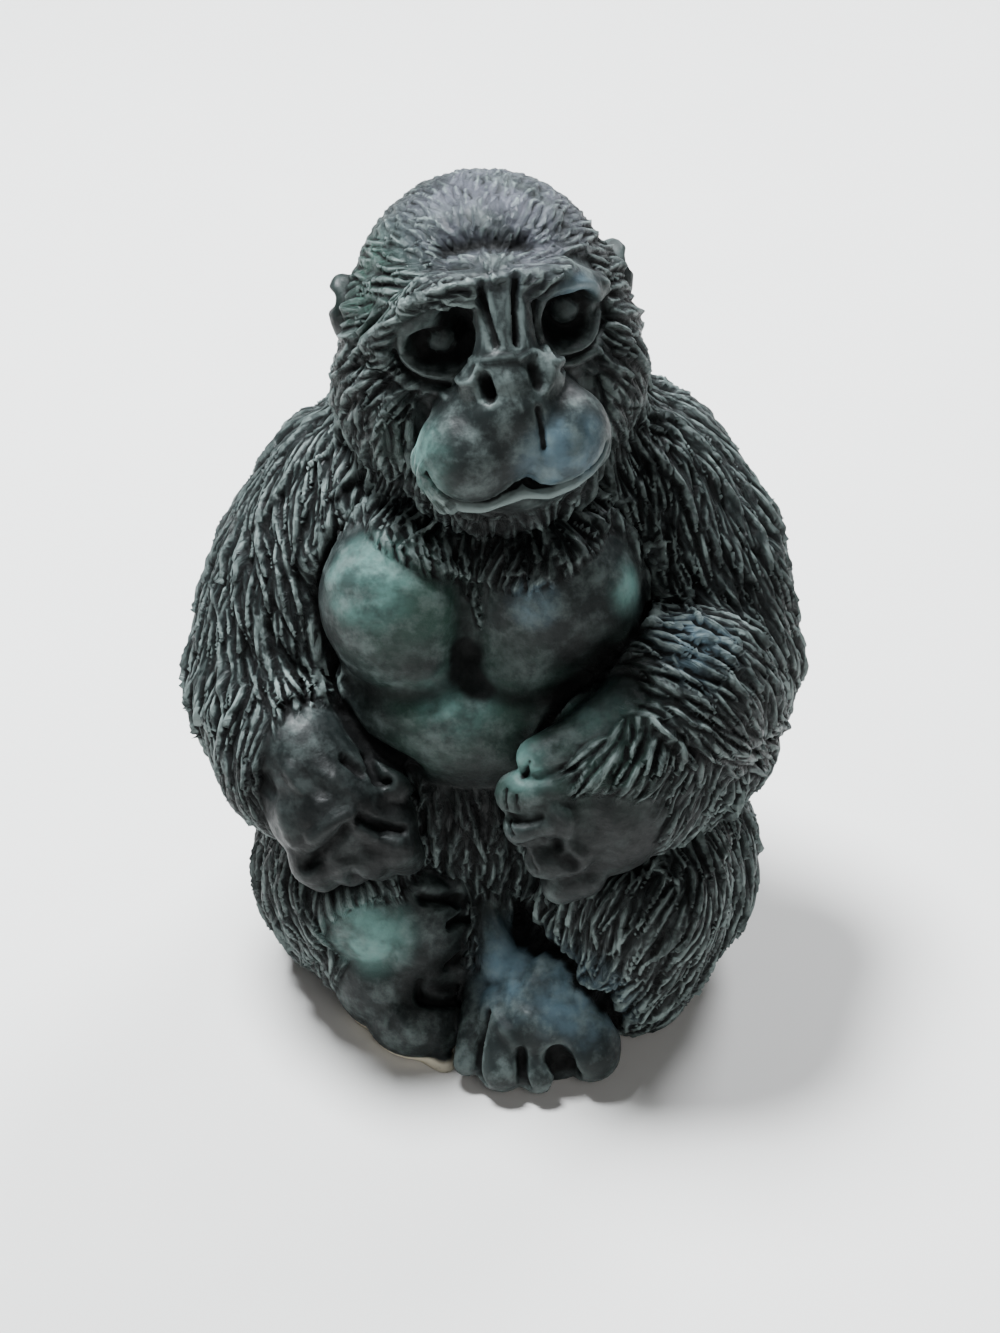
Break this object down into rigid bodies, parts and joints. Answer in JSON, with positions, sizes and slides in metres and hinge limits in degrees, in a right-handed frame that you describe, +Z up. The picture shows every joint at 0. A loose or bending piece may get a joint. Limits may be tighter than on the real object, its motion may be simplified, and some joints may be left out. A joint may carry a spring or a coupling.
{
  "type": "gorilla figurine",
  "caption": "Small solid cast figurine of a seated, shaggy gorilla with folded legs and hands in its lap, standing on a flat base.",
  "frame": {"origin": "on the flat base, under the middle of the body", "axes": "+Z up, -Y the way the gorilla faces, +X towards its left hand"},
  "size_m": [0.0553, 0.0482, 0.078],
  "materials": {
    "dark_resin": "satin charcoal black-green with dry-brushed grey-green on the raised fur and skin"
  },
  "bodies": {
    "root": {"gorilla_figurine": "dark_resin"}
  },
  "joints": []
}
